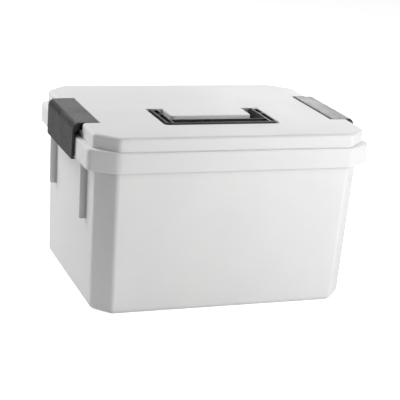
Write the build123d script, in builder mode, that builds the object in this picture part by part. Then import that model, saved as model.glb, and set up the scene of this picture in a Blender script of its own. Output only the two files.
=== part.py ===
# Storage box with a lift-off lid, a latch on each short side and a folding carry handle.
# Millimetres. The origin is the middle of the tub's underside, +X along the long side, +Z up.
import math
import os

from build123d import *

# Rim band: the turned-down edge round the top of the tub
rim_length = 340.0
rim_width = 253.0
rim_height = 192.0
rim_cut_x = 30.0
rim_cut_y = 19.0
rim_front_corner = 16.0
rim_side_corner = 10.0
rim_edge = 2.4
band_lower_edge = 1.0
band_height = 24.0
band_wall = 2.2
flange_thickness = 2.5

# Tub walls, which lean outwards from the floor to the rim
end_overhang = 10.3
side_overhang = 4.1
end_taper = 4.2
side_taper = 4.5
wall = 2.5
floor_thickness = 3.0
body_cut_x = 20.2
body_cut_y = 21.5
body_corner = 7.4
foot_radius = 7.0
inner_foot_radius = 4.5

# Stiffening ribs on the short sides, either side of each latch
rib_spacing = 136.0
rib_thickness = 4.0
rib_height = 89.5
rib_projection = 7.6
rib_foot = 1.6

# Lid
lid_height = 16.0
end_ledge = 6.7
side_ledge = 1.8
lid_cut_x = 24.3
lid_cut_y = 22.5
lid_corner = 8.0
lid_edge = 3.8
lid_seam = 0.7
well_edge = 0.6
notch_edge = 1.3
lid_wall = 2.5
skirt_depth = 8.0
skirt_wall = 2.0
skirt_clearance = 0.9

# Well for the handle, U-shaped round a pad that is level with the lid
well_length = 142.0
well_width = 74.0
well_depth = 14.0
well_centre_y = -35.5
well_corner = 6.0
pad_corner = 5.0
pad_edge = 1.4

# Handle
handle_side_gap = 3.0
handle_front_gap = 3.0
handle_height = 12.0
handle_rise = 1.5
arm_width = 9.0
bar_width = 16.0
handle_corner = 6.0
grip_corner = 2.5
handle_edge = 0.9
handle_wall = 1.7
pocket_depth = 8.5
cross_rib = 1.7
arm_rib_reach = 23.0
arm_finger_gap = 9.0
bar_finger_gap = 21.0
handle_end_gap = 1.8
handle_boss_wall = 2.5
handle_pin_radius = 2.5
handle_pin_play = 0.06
handle_pin_bite = 2.3

# Latches
latch_length = 113.0
latch_end_gap = 1.0
latch_wall = 2.6
latch_gap = 1.3
latch_rise = 1.2
latch_shoulder = 9.5
latch_corner = 4.0
lip_reach = 2.6
lip_thickness = 1.5
lip_rise = 1.4
hinge_inset = 22.1
barrel_radius = 4.7
barrel_gap = 1.2
latch_pin_radius = 1.6
latch_pin_play = 0.05
latch_pin_bite = 2.2
crease_turn = 40.0
crease_width = 1.1
crease_depth = 0.8
hinge_groove_inset = 2.4
hinge_groove_width = 0.8
hinge_groove_depth = 1.3
gusset_thickness = 1.8
gusset_inset = 5.0
gusset_drop = 8.0
gusset_count = 4

# Heights and half sizes that follow from the values above
band_bottom = rim_height - band_height
lid_top = rim_height + lid_height
flange_bottom = rim_height - flange_thickness
rim_half_x = rim_length / 2
rim_half_y = rim_width / 2
rim_size = (rim_half_x, rim_half_y, rim_cut_x, rim_cut_y)
lid_size = (rim_half_x - end_ledge, rim_half_y - side_ledge, lid_cut_x, lid_cut_y)


def shrink(size, amount):
    # The same cut-corner outline with every side moved in by one amount.
    half_x, half_y, cut_x, cut_y = size
    slant = math.hypot(cut_x, cut_y)
    new_cut_x = cut_x - amount + amount * (slant - cut_x) / cut_y
    new_cut_y = cut_y - amount + amount * (slant - cut_y) / cut_x
    return (half_x - amount, half_y - amount, new_cut_x, new_cut_y)


def body_size(height):
    # Outline of the leaning tub wall at a height above the floor.
    lean = 1 - height / rim_height
    half_x = rim_half_x - end_overhang - end_taper * lean
    half_y = rim_half_y - side_overhang - side_taper * lean
    return (half_x, half_y, body_cut_x, body_cut_y)


def cut_corners(size):
    # The eight corners of a rectangle with its own corners cut off.
    half_x, half_y, cut_x, cut_y = size
    flat_x = half_x - cut_x
    flat_y = half_y - cut_y
    return [
        (half_x, flat_y),
        (flat_x, half_y),
        (-flat_x, half_y),
        (-half_x, flat_y),
        (-half_x, -flat_y),
        (-flat_x, -half_y),
        (flat_x, -half_y),
        (half_x, -flat_y),
    ]


def body_outline(height, inset):
    # Corners of the tub wall's outline at a height, moved in from its outer face.
    return cut_corners(shrink(body_size(height), inset))


# The solid and the hollow of the leaning tub
with BuildPart() as tub_block:
    for height in (0, rim_height):
        with BuildSketch(Plane.XY.offset(height)) as section:
            Polygon(*body_outline(height, 0), align=None)
            fillet(section.vertices(), body_corner)
    loft()
    fillet(tub_block.edges().group_by(Axis.Z)[0], foot_radius)

with BuildPart() as tub_hollow:
    for height in (floor_thickness, rim_height):
        with BuildSketch(Plane.XY.offset(height)) as section:
            Polygon(*body_outline(height, wall), align=None)
            fillet(section.vertices(), body_corner - wall)
    loft()
    fillet(tub_hollow.edges().group_by(Axis.Z)[0], inner_foot_radius)

# Tub: the leaning box, its turned-down rim band and the ribs that stiffen the short sides
with BuildPart() as tub:
    with BuildSketch(Plane.XY.offset(band_bottom)) as section:
        Polygon(*cut_corners(rim_size), align=None)
        for row in (0, -1):
            fillet(section.vertices().group_by(Axis.Y)[row], rim_front_corner)
            fillet(section.vertices().group_by(Axis.X)[row], rim_side_corner)
    extrude(amount=band_height)
    fillet(tub.edges().group_by(Axis.Z)[-1], rim_edge)
    fillet(tub.edges().group_by(Axis.Z)[0], band_lower_edge)
    with BuildSketch(Plane.XY.offset(band_bottom)) as section:
        Polygon(*cut_corners(shrink(rim_size, band_wall)), align=None)
        for row in (0, -1):
            fillet(section.vertices().group_by(Axis.Y)[row], rim_front_corner - band_wall)
            fillet(section.vertices().group_by(Axis.X)[row], rim_side_corner - band_wall)
    extrude(amount=band_height - flange_thickness, mode=Mode.SUBTRACT)
    add(tub_block.part)
    rib_bottom = flange_bottom - rib_height
    rib_top_x = body_size(flange_bottom)[0]
    rib_bottom_x = body_size(rib_bottom)[0]
    for side in (-1, 1):
        for rib_y in (-rib_spacing / 2, rib_spacing / 2):
            with BuildSketch(Plane.XZ.offset(-rib_y)):
                Polygon(
                    (side * (rib_top_x - wall / 2), flange_bottom),
                    (side * (rib_top_x + rib_projection), flange_bottom),
                    (side * (rib_bottom_x + rib_projection), rib_bottom + rib_foot),
                    (side * (rib_bottom_x + rib_projection - rib_foot), rib_bottom),
                    (side * (rib_bottom_x - wall / 2), rib_bottom),
                    align=None,
                )
            extrude(amount=rib_thickness / 2, both=True)
    add(tub_hollow.part, mode=Mode.SUBTRACT)
tub.part.label = "tub"

# Places shared by the lid, the latches and the handle
hinge_x = rim_half_x - hinge_inset
latch_top = lid_top + latch_rise
hinge_z = latch_top - barrel_radius
notch_inner_x = hinge_x - barrel_radius - barrel_gap
notch_half_y = latch_length / 2 + latch_end_gap
notch_floor = hinge_z - barrel_radius - barrel_gap
flap_inner_x = rim_half_x + latch_gap
flap_outer_x = flap_inner_x + latch_wall
latch_low = band_bottom - lip_rise - lip_thickness

well_half_x = well_length / 2
well_front = well_centre_y - well_width / 2
well_back = well_centre_y + well_width / 2
well_floor = lid_top - well_depth
handle_half_x = well_half_x - handle_side_gap
handle_front = well_front + handle_front_gap
handle_top = lid_top + handle_rise
handle_bottom = handle_top - handle_height
grip_half_x = handle_half_x - arm_width
grip_front = handle_front + bar_width
pad_half_x = grip_half_x - arm_finger_gap
pad_front = grip_front + bar_finger_gap
handle_pin_z = handle_top - handle_height / 2
handle_pin_y = well_back - handle_end_gap - handle_height / 2

# Lid: a shell that stands on the rim, with a skirt inside the tub, a well for the handle and
# a notch in each short side for a latch
with BuildPart() as lid:
    with BuildSketch(Plane.XY.offset(rim_height)) as section:
        Polygon(*cut_corners(lid_size), align=None)
        fillet(section.vertices(), lid_corner)
    extrude(amount=lid_height)
    fillet(lid.edges().group_by(Axis.Z)[-1], lid_edge)
    chamfer(lid.edges().group_by(Axis.Z)[0], lid_seam)
    with BuildSketch(Plane.XY.offset(rim_height)) as section:
        Polygon(*cut_corners(shrink(lid_size, lid_wall)), align=None)
        fillet(section.vertices(), lid_corner - lid_wall / 2)
    extrude(amount=lid_height - lid_wall, mode=Mode.SUBTRACT)
    # Skirt, which keeps the lid on the tub
    skirt_size = shrink(body_size(rim_height), wall + skirt_clearance)
    with BuildSketch(Plane.XY.offset(rim_height - skirt_depth)) as section:
        Polygon(*cut_corners(skirt_size), align=None)
        fillet(section.vertices(), body_corner - wall)
        Polygon(*cut_corners(shrink(skirt_size, skirt_wall)), align=None, mode=Mode.SUBTRACT)
    extrude(amount=skirt_depth + lid_height - lid_wall)
    # Walls round the well and the notches
    with BuildSketch(Plane.XY.offset(well_floor - lid_wall)):
        with Locations((0, well_centre_y)):
            Rectangle(well_length + 2 * lid_wall, well_width + 2 * lid_wall)
        with Locations((0, (pad_front + lid_wall + well_back + lid_wall) / 2)):
            Rectangle(2 * (pad_half_x - lid_wall), well_back - pad_front, mode=Mode.SUBTRACT)
    extrude(amount=well_depth)
    with BuildSketch(Plane.XY.offset(notch_floor - lid_wall)):
        notch_reach = lid_size[0] - lid_wall / 2 - (notch_inner_x - lid_wall)
        for side in (-1, 1):
            with Locations((side * (notch_inner_x - lid_wall + notch_reach / 2), 0)):
                Rectangle(notch_reach, 2 * (notch_half_y + lid_wall))
    extrude(amount=lid_top - lid_wall - (notch_floor - lid_wall))
    # Well, open to the top, with the pad left standing in it
    with BuildSketch(Plane.XY.offset(well_floor)) as section:
        with Locations((0, well_centre_y)):
            Rectangle(well_length, well_width)
        fillet(section.vertices().group_by(Axis.Y)[0], well_corner)
        with BuildSketch(mode=Mode.SUBTRACT) as pad:
            with Locations((0, (pad_front + well_back) / 2)):
                Rectangle(2 * pad_half_x, well_back - pad_front)
            fillet(pad.vertices().group_by(Axis.Y)[0], pad_corner)
    extrude(amount=well_depth, mode=Mode.SUBTRACT)
    # Softened top edges: more along the front and sides of the pad, less round the well
    pad_rim = lid.edges().group_by(Axis.Z)[-1].filter_by_position(Axis.X, -pad_half_x, pad_half_x)
    fillet(pad_rim.filter_by_position(Axis.Y, pad_front, well_back), pad_edge)
    well_rim = lid.edges().group_by(Axis.Z)[-1].filter_by_position(Axis.X, -well_half_x, well_half_x)
    well_rim = well_rim.filter_by_position(Axis.Y, well_front, well_back)
    in_pad_rim = lambda edge: abs(edge.center().X) < pad_half_x and edge.center().Y > pad_front
    fillet(well_rim.filter_by(in_pad_rim, reverse=True), well_edge)
    # Notches, open to the top and to the side
    with BuildSketch(Plane.XY.offset(notch_floor)):
        for side in (-1, 1):
            with Locations((side * (notch_inner_x + lid_size[0]) / 2, 0)):
                Rectangle(lid_size[0] - notch_inner_x, 2 * notch_half_y)
    extrude(amount=lid_top - notch_floor, mode=Mode.SUBTRACT)
    notch_rim = lid.edges().group_by(Axis.Z)[-1].filter_by_position(Axis.Y, -notch_half_y, notch_half_y)
    fillet(notch_rim.filter_by(lambda edge: abs(edge.center().X) > well_half_x + lid_wall), notch_edge)
    # Holes for the stub pins of the handle and the latches
    hole_span = 2 * (notch_half_y + lid_wall)
    for side in (-1, 1):
        with Locations((side * hinge_x, 0, hinge_z)):
            Cylinder(latch_pin_radius + latch_pin_play, hole_span, rotation=(90, 0, 0), mode=Mode.SUBTRACT)
        with Locations((side * (well_half_x + lid_wall / 2), handle_pin_y, handle_pin_z)):
            Cylinder(handle_pin_radius + handle_pin_play, lid_wall, rotation=(0, 90, 0), mode=Mode.SUBTRACT)
lid.part.label = "lid"

# Latch on the -X side: a bent shell that turns on the lid and hooks under the rim band
with BuildPart() as latch_left:
    with BuildSketch(Plane.XZ) as section:
        Polygon(
            (-hinge_x, latch_top),
            (-flap_outer_x, latch_top),
            (-flap_outer_x, latch_low),
            (-rim_half_x + lip_reach - latch_gap, latch_low),
            (-rim_half_x + lip_reach - latch_gap, latch_low + lip_thickness),
            (-flap_inner_x, latch_low + lip_thickness + lip_rise),
            (-flap_inner_x, latch_top - latch_wall),
            (-hinge_x, latch_top - latch_wall),
            align=None,
        )
        shoulder = section.vertices().sort_by_distance((-flap_outer_x, latch_top))[0]
        fillet(shoulder, latch_shoulder)
        inside = (-flap_inner_x, latch_top - latch_wall)
        fillet(section.vertices().sort_by_distance(inside)[0], latch_shoulder - latch_wall)
        fillet(section.vertices().sort_by_distance((-flap_outer_x, latch_low))[0], lip_thickness)
        with Locations((-hinge_x, hinge_z)):
            Circle(barrel_radius)
    extrude(amount=latch_length / 2, both=True)
    # Rounded lower corners of the flap
    with BuildSketch(Plane.YZ.offset(-flap_outer_x)) as section:
        with Locations((0, (latch_low + lid_top) / 2)):
            Rectangle(latch_length, lid_top - latch_low)
        fillet(section.vertices().group_by(Axis.Y)[0], latch_corner)
    extrude(amount=flap_outer_x - notch_inner_x, mode=Mode.INTERSECT)
    # Gussets inside the shoulder
    gusset_pitch = (latch_length - 2 * gusset_inset) / (gusset_count - 1)
    for row in range(gusset_count):
        gusset_y = -latch_length / 2 + gusset_inset + row * gusset_pitch
        with BuildSketch(Plane.XZ.offset(-gusset_y)):
            Polygon(
                (-flap_inner_x - latch_wall / 2, hinge_z),
                (-flap_inner_x - latch_wall / 2, lid_top - latch_shoulder - gusset_drop / 2),
                (-flap_inner_x, lid_top - latch_shoulder - gusset_drop / 2),
                (-lid_size[0] - latch_gap, hinge_z - barrel_radius),
                (-lid_size[0] - latch_gap, latch_top - latch_wall / 2),
                (-flap_outer_x + latch_shoulder, latch_top - latch_wall / 2),
                align=None,
            )
        extrude(amount=gusset_thickness / 2, both=True)
    # Crease across the shoulder, groove along the barrel, and the stub pins
    crease_x = -flap_outer_x + latch_shoulder * (1 - math.sin(math.radians(crease_turn)))
    crease_z = latch_top - latch_shoulder * (1 - math.cos(math.radians(crease_turn)))
    with Locations((crease_x, 0, crease_z)):
        Box(crease_width, latch_length, 2 * crease_depth, rotation=(0, -crease_turn, 0), mode=Mode.SUBTRACT)
    with Locations((-notch_inner_x - barrel_gap - hinge_groove_inset, 0, latch_top)):
        Box(hinge_groove_width, latch_length, 2 * hinge_groove_depth, mode=Mode.SUBTRACT)
    with Locations((-hinge_x, 0, hinge_z)):
        Cylinder(latch_pin_radius, latch_length + 2 * (latch_end_gap + latch_pin_bite), rotation=(90, 0, 0))
latch_left.part.label = "latch_left"

# The other latch is the same moulding, turned half round
with BuildPart() as latch_right:
    add(latch_left.part.rotate(Axis.Z, 180))
latch_right.part.label = "latch_right"

# Handle: a flat-lying bail of open channel, with a stub pin at the end of each arm
with BuildPart() as handle:
    with BuildSketch(Plane.XY.offset(handle_bottom)) as section:
        handle_back = handle_pin_y + handle_height / 2
        with Locations((0, (handle_front + handle_back) / 2)):
            Rectangle(2 * handle_half_x, handle_back - handle_front)
        fillet(section.vertices().group_by(Axis.Y)[0], handle_corner)
        with BuildSketch(mode=Mode.SUBTRACT) as grip:
            with Locations((0, (grip_front + handle_back) / 2)):
                Rectangle(2 * grip_half_x, handle_back - grip_front)
            fillet(grip.vertices().group_by(Axis.Y)[0], grip_corner)
    extrude(amount=handle_height)
    # Round ends about the pins
    with BuildSketch(Plane.YZ.offset(-handle_half_x)):
        with Locations(((handle_front + handle_pin_y) / 2, handle_pin_z)):
            Rectangle(handle_pin_y - handle_front, handle_height)
        with Locations((handle_pin_y, handle_pin_z)):
            Circle(handle_height / 2)
    extrude(amount=2 * handle_half_x, mode=Mode.INTERSECT)
    fillet(handle.faces().sort_by(Axis.Z)[-1].outer_wire().edges(), handle_edge)
    # Pockets in the top, with ribs between them
    pocket_back = handle_pin_y - handle_pin_radius - handle_boss_wall
    pocket_front = handle_front + handle_wall
    with BuildSketch(Plane.XY.offset(handle_top - pocket_depth)) as section:
        with Locations((0, (pocket_front + pocket_back) / 2)):
            Rectangle(2 * (handle_half_x - handle_wall), pocket_back - pocket_front)
        fillet(section.vertices().group_by(Axis.Y)[0], handle_corner - handle_wall)
        inner_front = grip_front - handle_wall
        with Locations((0, (inner_front + pocket_back) / 2)):
            Rectangle(2 * (grip_half_x + handle_wall), pocket_back - inner_front, mode=Mode.SUBTRACT)
        for side in (-1, 1):
            with Locations((side * (grip_half_x + handle_wall / 2), (pocket_front + grip_front) / 2)):
                Rectangle(cross_rib, grip_front - pocket_front, mode=Mode.SUBTRACT)
            with Locations((side * (handle_half_x - arm_width / 2), grip_front + arm_rib_reach)):
                Rectangle(arm_width, cross_rib, mode=Mode.SUBTRACT)
    extrude(amount=pocket_depth, mode=Mode.SUBTRACT)
    # Stub pins
    stub_reach = handle_side_gap + handle_pin_bite
    stub_x = handle_half_x + (stub_reach - handle_wall) / 2
    for side in (-1, 1):
        with Locations((side * stub_x, handle_pin_y, handle_pin_z)):
            Cylinder(handle_pin_radius, stub_reach + handle_wall, rotation=(0, 90, 0))
handle.part.label = "handle"

os.makedirs("parts", exist_ok=True)
for piece in (tub, lid, latch_left, latch_right, handle):
    export_step(piece.part, f"parts/{piece.part.label}.step")
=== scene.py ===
# Storage box with a lid, two side latches and a folding handle: materials, light and camera.
import math

import bpy
from mathutils import Matrix, Vector

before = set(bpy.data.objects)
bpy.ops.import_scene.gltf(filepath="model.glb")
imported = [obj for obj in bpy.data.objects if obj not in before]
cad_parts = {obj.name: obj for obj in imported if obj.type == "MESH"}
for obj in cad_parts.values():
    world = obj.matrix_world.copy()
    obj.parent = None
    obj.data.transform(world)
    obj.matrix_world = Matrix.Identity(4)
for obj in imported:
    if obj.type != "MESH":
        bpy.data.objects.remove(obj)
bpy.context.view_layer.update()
print("frame loaded")


def viewDirection(turn, rise):
    turn = math.radians(turn)
    rise = math.radians(rise)
    return Vector((math.sin(turn) * math.cos(rise), -math.cos(turn) * math.cos(rise), math.sin(rise)))


camera = {
    "turn": -21.40,  # degrees round the box from its long front side
    "rise": 17.53,
    "roll": 4.57,
    "distance": 1.5763,
    "target": (0.0053, -0.0025, 0.0938),
    "lens": 116.4,
    "sensor": 36.0,
    "farthest": 60.0,
}


def makeCamera(settings):
    turn = math.radians(settings["turn"])
    roll = math.radians(settings["roll"])
    back = viewDirection(settings["turn"], settings["rise"])
    right = Vector((math.cos(turn), math.sin(turn), 0.0))
    up = back.cross(right)
    tiltedRight = right * math.cos(roll) + up * math.sin(roll)
    tiltedUp = up * math.cos(roll) - right * math.sin(roll)
    place = Vector(settings["target"]) + back * settings["distance"]
    data = bpy.data.cameras.new("camera")
    data.lens = settings["lens"]
    data.sensor_width = settings["sensor"]
    data.clip_end = settings["farthest"]
    shot = bpy.data.objects.new("camera", data)
    bpy.context.scene.collection.objects.link(shot)
    turned = Matrix((tiltedRight, tiltedUp, back)).transposed().to_4x4()
    shot.matrix_world = Matrix.Translation(place) @ turned
    bpy.context.scene.camera = shot


softBoxes = {  # turn runs from the long front side towards the right-hand latch
    "front": {"turn": 24, "rise": 18, "distance": 0.78, "size": 0.35, "power": 0.75},
    "right": {"turn": 38, "rise": 15, "distance": 1.4, "size": 0.8, "power": 10.3},
    "highRight": {"turn": 120, "rise": 40, "distance": 1.4, "size": 0.8, "power": 3.8},
    "lowBack": {"turn": 142, "rise": 15, "distance": 1.4, "size": 0.8, "power": 4.6},
    "farBack": {"turn": 176, "rise": 24, "distance": 1.4, "size": 0.8, "power": 1.5},
    "lowLeft": {"turn": -126, "rise": 15, "distance": 1.4, "size": 0.8, "power": 4.8},
    "highLeft": {"turn": -140, "rise": 42, "distance": 1.4, "size": 0.8, "power": 9.4},
    "overLeft": {"turn": -100, "rise": 65, "distance": 1.4, "size": 0.9, "power": 2.4},
}
lightTarget = Vector((0.0, 0.0, 0.1))


def addSoftBox(name, settings):
    data = bpy.data.lights.new(name, "AREA")
    data.shape = "SQUARE"
    data.size = settings["size"]
    data.energy = settings["power"]
    lamp = bpy.data.objects.new(name, data)
    bpy.context.scene.collection.objects.link(lamp)
    towards = viewDirection(settings["turn"], settings["rise"])
    lamp.location = lightTarget + towards * settings["distance"]
    lamp.rotation_euler = towards.to_track_quat("Z", "Y").to_euler()


sky = {"light": 0.06, "seen": 1.0}


def makeSky():
    scene = bpy.context.scene
    scene.view_settings.view_transform = "Standard"
    scene.world = bpy.data.worlds.new("studio")
    scene.world.use_nodes = True
    tree = scene.world.node_tree
    path = tree.nodes.new("ShaderNodeLightPath")
    level = tree.nodes.new("ShaderNodeMix")
    level.inputs["A"].default_value = sky["light"]
    level.inputs["B"].default_value = sky["seen"]
    tree.links.new(path.outputs["Is Camera Ray"], level.inputs["Factor"])
    background = tree.nodes["Background"]
    background.inputs["Color"].default_value = (1.0, 1.0, 1.0, 1.0)
    tree.links.new(level.outputs["Result"], background.inputs["Strength"])


floor = {
    "size": 14.0,
    "drop": 0.0004,  # below the box, so that the two faces don't flicker
    "colour": (0.95, 0.95, 0.95),
    "mirroredColour": (0.3, 0.3, 0.3),  # as if dark card stood round the floor
    "glow": 0.88,  # keeps the paper pale where the lights don't reach
}


def makeFloor():
    bpy.ops.mesh.primitive_plane_add(size=floor["size"], location=(0.0, 0.0, -floor["drop"]))
    ground = bpy.context.object
    ground.name = "floor"
    paper = bpy.data.materials.new("floorPaper")
    paper.use_nodes = True
    tree = paper.node_tree
    tree.nodes.remove(tree.nodes["Principled BSDF"])
    matt = tree.nodes.new("ShaderNodeBsdfDiffuse")
    glow = tree.nodes.new("ShaderNodeEmission")
    path = tree.nodes.new("ShaderNodeLightPath")
    both = tree.nodes.new("ShaderNodeAddShader")
    strength = addMath(tree, "MULTIPLY", path.outputs["Is Camera Ray"], floor["glow"])
    tree.links.new(strength, glow.inputs["Strength"])
    mirrored = addColourMix(tree, path.outputs["Is Glossy Ray"], floor["colour"], floor["mirroredColour"])
    tree.links.new(mirrored, matt.inputs["Color"])
    tree.links.new(matt.outputs["BSDF"], both.inputs[0])
    tree.links.new(glow.outputs["Emission"], both.inputs[1])
    tree.links.new(both.outputs["Shader"], tree.nodes["Material Output"].inputs["Surface"])
    ground.data.materials.append(paper)


noises = {  # low and high bound the part of each noise that shows
    "cloud": {"detail": 3.0, "roughness": 0.5, "low": 0.35, "high": 0.65},
    "speck": {"detail": 2.0, "roughness": 0.5, "low": 0.62, "high": 0.75},
    "rub": {"detail": 4.0, "roughness": 0.6, "low": 0.4, "high": 0.62},
    "scuff": {"detail": 5.0, "roughness": 0.65, "low": 0.56, "high": 0.72},
    "wave": {"detail": 1.0, "roughness": 0.5},
    "grain": {"detail": 3.0, "roughness": 0.6},
}


def addNoise(tree, place, scale, kind):
    noise = tree.nodes.new("ShaderNodeTexNoise")
    noise.inputs["Scale"].default_value = scale
    noise.inputs["Detail"].default_value = noises[kind]["detail"]
    noise.inputs["Roughness"].default_value = noises[kind]["roughness"]
    tree.links.new(place, noise.inputs["Vector"])
    return noise.outputs["Fac"]


def addRange(tree, value, low, high, toLow, toHigh):
    span = tree.nodes.new("ShaderNodeMapRange")
    span.inputs["From Min"].default_value = low
    span.inputs["From Max"].default_value = high
    span.inputs["To Min"].default_value = toLow
    span.inputs["To Max"].default_value = toHigh
    tree.links.new(value, span.inputs["Value"])
    return span.outputs["Result"]


def addPatches(tree, place, scale, kind, least, most):
    patches = addNoise(tree, place, scale, kind)
    return addRange(tree, patches, noises[kind]["low"], noises[kind]["high"], least, most)


def addMath(tree, operation, first, second):
    step = tree.nodes.new("ShaderNodeMath")
    step.operation = operation
    for socket, value in zip(step.inputs, (first, second)):
        if isinstance(value, float):
            socket.default_value = value
        else:
            tree.links.new(value, socket)
    return step.outputs["Value"]


def addColourMix(tree, amount, first, second):
    mix = tree.nodes.new("ShaderNodeMix")
    mix.data_type = "RGBA"
    tree.links.new(amount, mix.inputs["Factor"])
    for socket, colour in ((mix.inputs[6], first), (mix.inputs[7], second)):  # the A and B colours
        if isinstance(colour, tuple):
            socket.default_value = (*colour, 1.0)
        else:
            tree.links.new(colour, socket)
    return mix.outputs[2]


def addPlace(tree, shift, stretch=(1.0, 1.0, 1.0)):
    coordinates = tree.nodes.new("ShaderNodeTexCoord")
    mapping = tree.nodes.new("ShaderNodeMapping")
    mapping.inputs["Location"].default_value = (shift, shift, shift)
    mapping.inputs["Scale"].default_value = stretch
    tree.links.new(coordinates.outputs["Object"], mapping.inputs["Vector"])
    return mapping.outputs["Vector"]


masks = {
    "edgeSamples": 6,
    "edgeStart": 0.97,  # cosine of the turn between the true and the rounded surface
    "edgeFull": 0.7,
    # the hollow mask is ambient occlusion, used to paint shade into hollows and under overhangs
    "hollowShadeSamples": 8,
    "hollowShadeStart": 0.95,  # share of the surroundings that is open
    "hollowShadeFull": 0.45,
    "rubLeast": 0.15,  # so that no edge is quite untouched
}


def addEdgeMask(tree, width):
    rounded = tree.nodes.new("ShaderNodeBevel")
    rounded.samples = masks["edgeSamples"]
    rounded.inputs["Radius"].default_value = width
    surface = tree.nodes.new("ShaderNodeNewGeometry")
    turned = tree.nodes.new("ShaderNodeVectorMath")
    turned.operation = "DOT_PRODUCT"
    tree.links.new(rounded.outputs["Normal"], turned.inputs[0])
    tree.links.new(surface.outputs["Normal"], turned.inputs[1])
    return addRange(tree, turned.outputs["Value"], masks["edgeStart"], masks["edgeFull"], 0.0, 1.0)


# ambient occlusion mask for painted shade in hollows, creases and under overhangs; it also keeps the rub
# off them
def addHollowShadeMask(tree, reach):
    shade = tree.nodes.new("ShaderNodeAmbientOcclusion")
    shade.samples = masks["hollowShadeSamples"]
    shade.only_local = True
    shade.inputs["Distance"].default_value = reach
    return addRange(tree, shade.outputs["AO"], masks["hollowShadeStart"], masks["hollowShadeFull"], 0.0, 1.0)


def addBump(tree, height, distance, previous=None):
    bump = tree.nodes.new("ShaderNodeBump")
    bump.inputs["Distance"].default_value = distance
    bump.inputs["Strength"].default_value = 1.0
    tree.links.new(height, bump.inputs["Height"])
    if previous is not None:
        tree.links.new(previous, bump.inputs["Normal"])
    return bump.outputs["Normal"]


def makePlastic(name, look):
    plastic = bpy.data.materials.new(name)
    plastic.use_nodes = True
    tree = plastic.node_tree
    shader = tree.nodes["Principled BSDF"]
    shader.inputs["IOR"].default_value = look["ior"]
    place = addPlace(tree, look["shift"])
    # colour: broad cloudiness of the moulding, fine specks, rubbed edges and painted shade in the hollows
    cloud = addPatches(tree, place, look["cloudScale"], "cloud", 0.0, 1.0)
    colour = addColourMix(tree, cloud, look["colour"], look["cloudColour"])
    specks = addPatches(tree, place, look["speckScale"], "speck", 0.0, look["speckAmount"])
    colour = addColourMix(tree, specks, colour, look["speckColour"])
    patchy = addPatches(tree, place, look["rubScale"], "rub", masks["rubLeast"], 1.0)
    edges = addMath(tree, "MULTIPLY", addEdgeMask(tree, look["edgeWidth"]), patchy)
    hollowShade = addHollowShadeMask(tree, look["hollowShadeReach"])
    proud = addMath(tree, "MULTIPLY", addMath(tree, "SUBTRACT", 1.0, hollowShade), look["rubAmount"])
    rubbed = addMath(tree, "MULTIPLY", edges, proud)
    colour = addColourMix(tree, rubbed, colour, look["rubColour"])
    # painted shade: the colour is darkened where the hollow mask finds shade falling
    paintedShade = addMath(tree, "MULTIPLY", hollowShade, look["paintedShadeAmount"])
    colour = addColourMix(tree, paintedShade, colour, look["paintedShadeColour"])
    tree.links.new(colour, shader.inputs["Base Color"])
    # roughness: cloudy, with long fine scuffs from handling
    alongScuffs = addPlace(tree, look["shift"], look["scuffStretch"])
    scuffs = addPatches(tree, alongScuffs, look["scuffScale"], "scuff", 0.0, look["scuffAmount"])
    smoothest = look["roughness"] - look["roughRange"]
    roughest = look["roughness"] + look["roughRange"]
    broad = addRange(tree, cloud, 0.0, 1.0, smoothest, roughest)
    tree.links.new(addMath(tree, "ADD", broad, scuffs), shader.inputs["Roughness"])
    # relief: slow waves from shrinkage and the fine grain of the mould
    waves = addBump(tree, addNoise(tree, place, look["waveScale"], "wave"), look["waveHeight"])
    fine = addNoise(tree, place, look["grainScale"], "grain")
    grain = addBump(tree, fine, look["grainHeight"], waves)
    tree.links.new(grain, shader.inputs["Normal"])
    return plastic


def dress(node, material):
    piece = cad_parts[node]
    piece.data.materials.clear()
    piece.data.materials.append(material)


makeCamera(camera)
makeSky()
makeFloor()
for name, settings in softBoxes.items():
    addSoftBox(name, settings)
print("camera, floor and lights placed")

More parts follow.
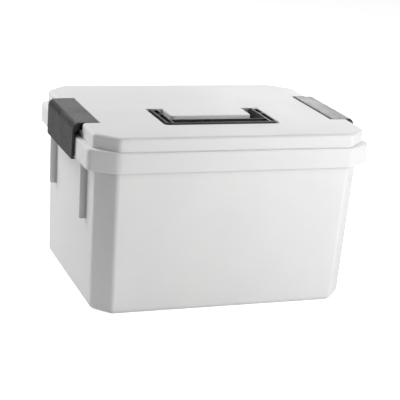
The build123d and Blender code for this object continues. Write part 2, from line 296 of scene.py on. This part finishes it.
whitePlastic = {
    "colour": (0.862, 0.862, 0.857),
    "cloudColour": (0.842, 0.843, 0.841),
    "cloudScale": 16.0,  # waves per metre
    "speckColour": (0.74, 0.73, 0.71),
    "speckScale": 900.0,
    "speckAmount": 0.12,
    "rubColour": (0.93, 0.93, 0.925),
    "rubScale": 90.0,
    "rubAmount": 0.35,
    "edgeWidth": 0.0016,
    # painted shade within 10 mm of hollows: under the rim band, below the lid and round the ribs
    "hollowShadeReach": 0.010,
    "paintedShadeColour": (0.46, 0.45, 0.435),
    "paintedShadeAmount": 0.6,
    "roughness": 0.47,
    "roughRange": 0.03,
    "scuffStretch": (1.0, 0.12, 0.5),
    "scuffScale": 120.0,
    "scuffAmount": 0.14,
    "ior": 1.49,
    "waveScale": 9.0,
    "waveHeight": 0.0009,
    "grainScale": 2600.0,
    "grainHeight": 0.000012,
}

# shift moves the noises, so that no two mouldings look alike
tubLook = {**whitePlastic, "shift": 0.0}
dress("tub", makePlastic("tubPlastic", tubLook))

lidLook = {**whitePlastic, "shift": 3.1}
dress("lid", makePlastic("lidPlastic", lidLook))
print("tub and lid dressed")

darkPlastic = {
    "colour": (0.030, 0.031, 0.034),
    "cloudColour": (0.036, 0.037, 0.040),
    "cloudScale": 40.0,
    "speckColour": (0.10, 0.10, 0.10),
    "speckScale": 1100.0,
    "speckAmount": 0.3,
    "rubColour": (0.13, 0.13, 0.135),
    "rubScale": 140.0,
    "rubAmount": 0.3,
    "edgeWidth": 0.0010,
    # painted shade in the latch creases, handle pockets and other hollows
    "hollowShadeReach": 0.0025,
    "paintedShadeColour": (0.012, 0.012, 0.013),
    "paintedShadeAmount": 0.9,
    "roughness": 0.31,
    "roughRange": 0.04,
    "scuffStretch": (1.0, 0.1, 1.0),
    "scuffScale": 200.0,
    "scuffAmount": 0.12,
    "ior": 1.49,
    "waveScale": 22.0,
    "waveHeight": 0.0004,
    "grainScale": 1900.0,
    "grainHeight": 0.00002,
}

leftLatchLook = {**darkPlastic, "shift": 1.3}
dress("latch_left", makePlastic("leftLatchPlastic", leftLatchLook))

rightLatchLook = {**darkPlastic, "shift": 5.7}
dress("latch_right", makePlastic("rightLatchPlastic", rightLatchLook))

handleLook = {**darkPlastic, "shift": 0.0, "scuffStretch": (0.1, 1.0, 1.0)}  # scuffs run along the arms
dress("handle", makePlastic("handlePlastic", handleLook))
print("latches and handle dressed")
